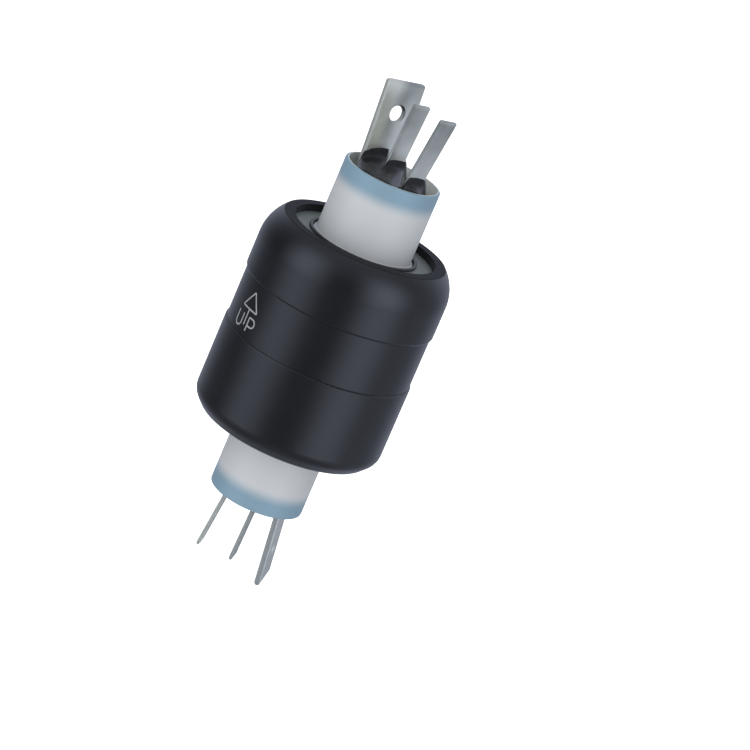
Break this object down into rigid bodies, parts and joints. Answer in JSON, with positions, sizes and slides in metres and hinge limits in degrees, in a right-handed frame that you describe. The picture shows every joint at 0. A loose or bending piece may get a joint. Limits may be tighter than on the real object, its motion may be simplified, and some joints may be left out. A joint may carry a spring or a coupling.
{
  "type": "slip ring",
  "caption": "Liquid-metal rotary electrical connector: round black housing, white stem at each end, flat push-on terminals, upper stem turns in a ball bearing.",
  "frame": {"origin": "on the axis, at the underside of the black housing, where the lower stem starts", "axes": "+Z along the axis towards the turning stem, the way the UP arrow points; the lower terminals' width lies nearly along Y"},
  "size_m": [0.026, 0.0258, 0.0684],
  "materials": {
    "black_housing": "satin moulded plastic",
    "white_stem": "milky moulded plastic",
    "bearing_steel": "ground",
    "ball_steel": "polished",
    "cage_plastic": "moulded",
    "shield_steel": "pressed sheet",
    "spring_steel": "blackened",
    "seal_rubber": "moulded rubber",
    "bush_brass": "turned",
    "core_plastic": "turned plastic",
    "insulator_plastic": "moulded plastic",
    "contact_metal": "plated",
    "liquid_metal": "liquid",
    "lead_copper": "bare copper",
    "potting": "poured compound",
    "tinned_terminal": "tin plated"
  },
  "bodies": {
    "housing": {"barrel": "black_housing", "bearing_outer_race": "bearing_steel", "bearing_shield_lower": "shield_steel", "bearing_shield_upper": "shield_steel", "cell_insulator_1": "insulator_plastic", "cell_insulator_2": "insulator_plastic", "cell_insulator_3": "insulator_plastic", "contact_cup_1": "contact_metal", "contact_cup_2": "contact_metal", "contact_cup_3": "contact_metal", "cover_plate": "black_housing", "liquid_metal_1": "liquid_metal", "liquid_metal_2": "liquid_metal", "liquid_metal_3": "liquid_metal", "lower_housing": "black_housing", "lower_potting": "potting", "lower_stem": "white_stem", "lower_terminal_narrow_1": "tinned_terminal", "lower_terminal_narrow_2": "tinned_terminal", "lower_terminal_wide": "tinned_terminal", "pivot_bush": "bush_brass", "shaft_seal": "seal_rubber", "stator_lead_1": "lead_copper", "stator_lead_2": "lead_copper", "stator_lead_3": "lead_copper", "upper_cap": "black_housing"},
    "rotor": {"bearing_inner_race": "bearing_steel", "contact_disc_1": "contact_metal", "contact_disc_2": "contact_metal", "contact_disc_3": "contact_metal", "retaining_ring": "spring_steel", "rotor_core": "core_plastic", "rotor_lead_1": "lead_copper", "rotor_lead_2": "lead_copper", "rotor_lead_3": "lead_copper", "rotor_spacer_1": "core_plastic", "rotor_spacer_2": "core_plastic", "rotor_spacer_3": "core_plastic", "upper_potting": "potting", "upper_stem": "white_stem", "upper_terminal_narrow_1": "tinned_terminal", "upper_terminal_narrow_2": "tinned_terminal", "upper_terminal_wide": "tinned_terminal"},
    "cage": {"bearing_cage": "cage_plastic", "bearing_balls": "ball_steel"}
  },
  "joints": [
    {"name": "rotor_spin", "type": "hinge", "parent": "housing", "child": "rotor", "pos_m": [0, 0, 0.0234], "axis": [0, 0, 1], "continuous": true},
    {"name": "cage_spin", "type": "hinge", "parent": "housing", "child": "cage", "pos_m": [0, 0, 0.0234], "axis": [0, 0, 1], "continuous": true}
  ],
  "couplings": [
    {"joint": "cage_spin", "follows": "rotor_spin", "ratio": 0.42788}
  ]
}
